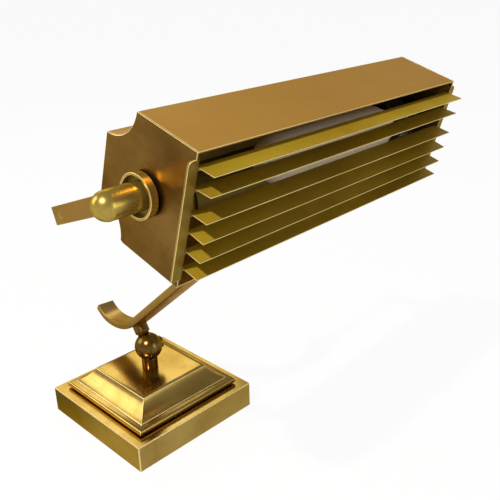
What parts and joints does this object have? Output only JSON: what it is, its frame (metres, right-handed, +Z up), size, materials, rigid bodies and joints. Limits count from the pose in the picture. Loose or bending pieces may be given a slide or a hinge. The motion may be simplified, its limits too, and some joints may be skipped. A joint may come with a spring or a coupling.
{
  "type": "desk lamp",
  "caption": "Brass desk lamp: long louvred shade in a tilting yoke on a curled flat arm, with a ball joint over a square stepped base.",
  "frame": {"origin": "centre of the square resting face under the base", "axes": "+Z up, -Y towards the louvred front, +X along the shade to the right"},
  "size_m": [0.3204, 0.3505, 0.3525],
  "materials": {
    "gold_brass": "antique, satin polish",
    "aged_brass": "aged, satin",
    "louvre_brass": "lacquered, satin",
    "zinc_steel": "zinc plated",
    "iron": "rough casting",
    "felt": "matt felt",
    "liner_brass": "rolled, dulled",
    "cap_metal": "bare",
    "bulb_glass": "clear",
    "holder_black": "moulded",
    "bushing_black": "matt"
  },
  "bodies": {
    "base": {"base_slab": "gold_brass", "base_moulding": "gold_brass", "base_weight": "iron", "bottom_plate": "zinc_steel", "felt_pad": "felt", "cover_screws": "zinc_steel"},
    "post": {"lower_knuckle": "aged_brass", "post_washer": "zinc_steel", "post_nut": "zinc_steel", "ball_screw": "aged_brass"},
    "arm": {"upper_knuckle": "aged_brass", "neck_stud": "zinc_steel", "arm_bar": "gold_brass", "arm_socket": "gold_brass", "socket_pin": "zinc_steel", "socket_screw": "zinc_steel"},
    "hub": {"yoke_hub": "aged_brass", "hub_screw": "gold_brass"},
    "yoke": {"cross_rod": "gold_brass", "rod_rings": "gold_brass", "yoke_strip_left": "gold_brass", "yoke_strip_right": "gold_brass", "collar_left": "gold_brass", "collar_right": "gold_brass"},
    "shade": {"shade_shell": "aged_brass", "end_plate_left": "aged_brass", "end_plate_right": "aged_brass", "rail_left": "louvre_brass", "rail_right": "louvre_brass", "reflector": "liner_brass", "reflector_rivets": "zinc_steel", "pivot_stud_left": "zinc_steel", "pivot_stud_right": "zinc_steel", "stud_nuts": "zinc_steel", "holder_bracket": "zinc_steel", "bracket_screws": "zinc_steel", "lampholder": "holder_black", "bulb_cap": "cap_metal", "bulb_glass": "bulb_glass", "cable_bushing": "bushing_black"},
    "left knob": {"knob_left": "gold_brass"},
    "right knob": {"knob_right": "gold_brass"},
    "slat 1": {"slat_1": "louvre_brass"},
    "slat 2": {"slat_2": "louvre_brass"},
    "slat 3": {"slat_3": "louvre_brass"},
    "slat 4": {"slat_4": "louvre_brass"},
    "slat 5": {"slat_5": "louvre_brass"},
    "slat 6": {"slat_6": "louvre_brass"}
  },
  "joints": [
    {"name": "base_swivel", "type": "hinge", "parent": "base", "child": "post", "pos_m": [0, 0, 0.0498], "axis": [0, 0, 1], "range_deg": [-170, 170]},
    {"name": "arm_tilt", "type": "hinge", "parent": "post", "child": "arm", "pos_m": [0, 0, 0.0728], "axis": [0.9914, -0.1305, 0], "range_deg": [-20, 25]},
    {"name": "yoke_swivel", "type": "hinge", "parent": "arm", "child": "hub", "pos_m": [-0.01587, -0.12056, 0.2793], "axis": [0, 0, 1], "range_deg": [-60, 60]},
    {"name": "yoke_tilt", "type": "hinge", "parent": "hub", "child": "yoke", "pos_m": [-0.01587, -0.12056, 0.2793], "axis": [0.9995, 0.0332, 0], "range_deg": [-60, 50]},
    {"name": "shade_tilt", "type": "hinge", "parent": "yoke", "child": "shade", "pos_m": [-0.01313, -0.20321, 0.3094], "axis": [0.9995, 0.0332, 0], "range_deg": [-60, 75]},
    {"name": "knob_left_turn", "type": "hinge", "parent": "shade", "child": "left knob", "pos_m": [-0.15805, -0.20802, 0.3094], "axis": [0.9995, 0.0332, 0], "range_deg": [-180, 180]},
    {"name": "knob_right_turn", "type": "hinge", "parent": "shade", "child": "right knob", "pos_m": [0.13179, -0.1984, 0.3094], "axis": [0.9995, 0.0332, 0], "range_deg": [-180, 180]},
    {"name": "slat_1_tilt", "type": "hinge", "parent": "shade", "child": "slat 1", "pos_m": [-0.01188, -0.24103, 0.32909], "axis": [0.9995, 0.0332, 0], "range_deg": [-45, 45]},
    {"name": "slat_2_tilt", "type": "hinge", "parent": "shade", "child": "slat 2", "pos_m": [-0.01198, -0.23785, 0.31773], "axis": [0.9995, 0.0332, 0], "range_deg": [-45, 45]},
    {"name": "slat_3_tilt", "type": "hinge", "parent": "shade", "child": "slat 3", "pos_m": [-0.01211, -0.23395, 0.30381], "axis": [0.9995, 0.0332, 0], "range_deg": [-45, 45]},
    {"name": "slat_4_tilt", "type": "hinge", "parent": "shade", "child": "slat 4", "pos_m": [-0.01221, -0.23107, 0.29354], "axis": [0.9995, 0.0332, 0], "range_deg": [-45, 45]},
    {"name": "slat_5_tilt", "type": "hinge", "parent": "shade", "child": "slat 5", "pos_m": [-0.01231, -0.22782, 0.28195], "axis": [0.9995, 0.0332, 0], "range_deg": [-45, 45]},
    {"name": "slat_6_tilt", "type": "hinge", "parent": "shade", "child": "slat 6", "pos_m": [-0.01241, -0.22484, 0.27129], "axis": [0.9995, 0.0332, 0], "range_deg": [-45, 45]}
  ]
}
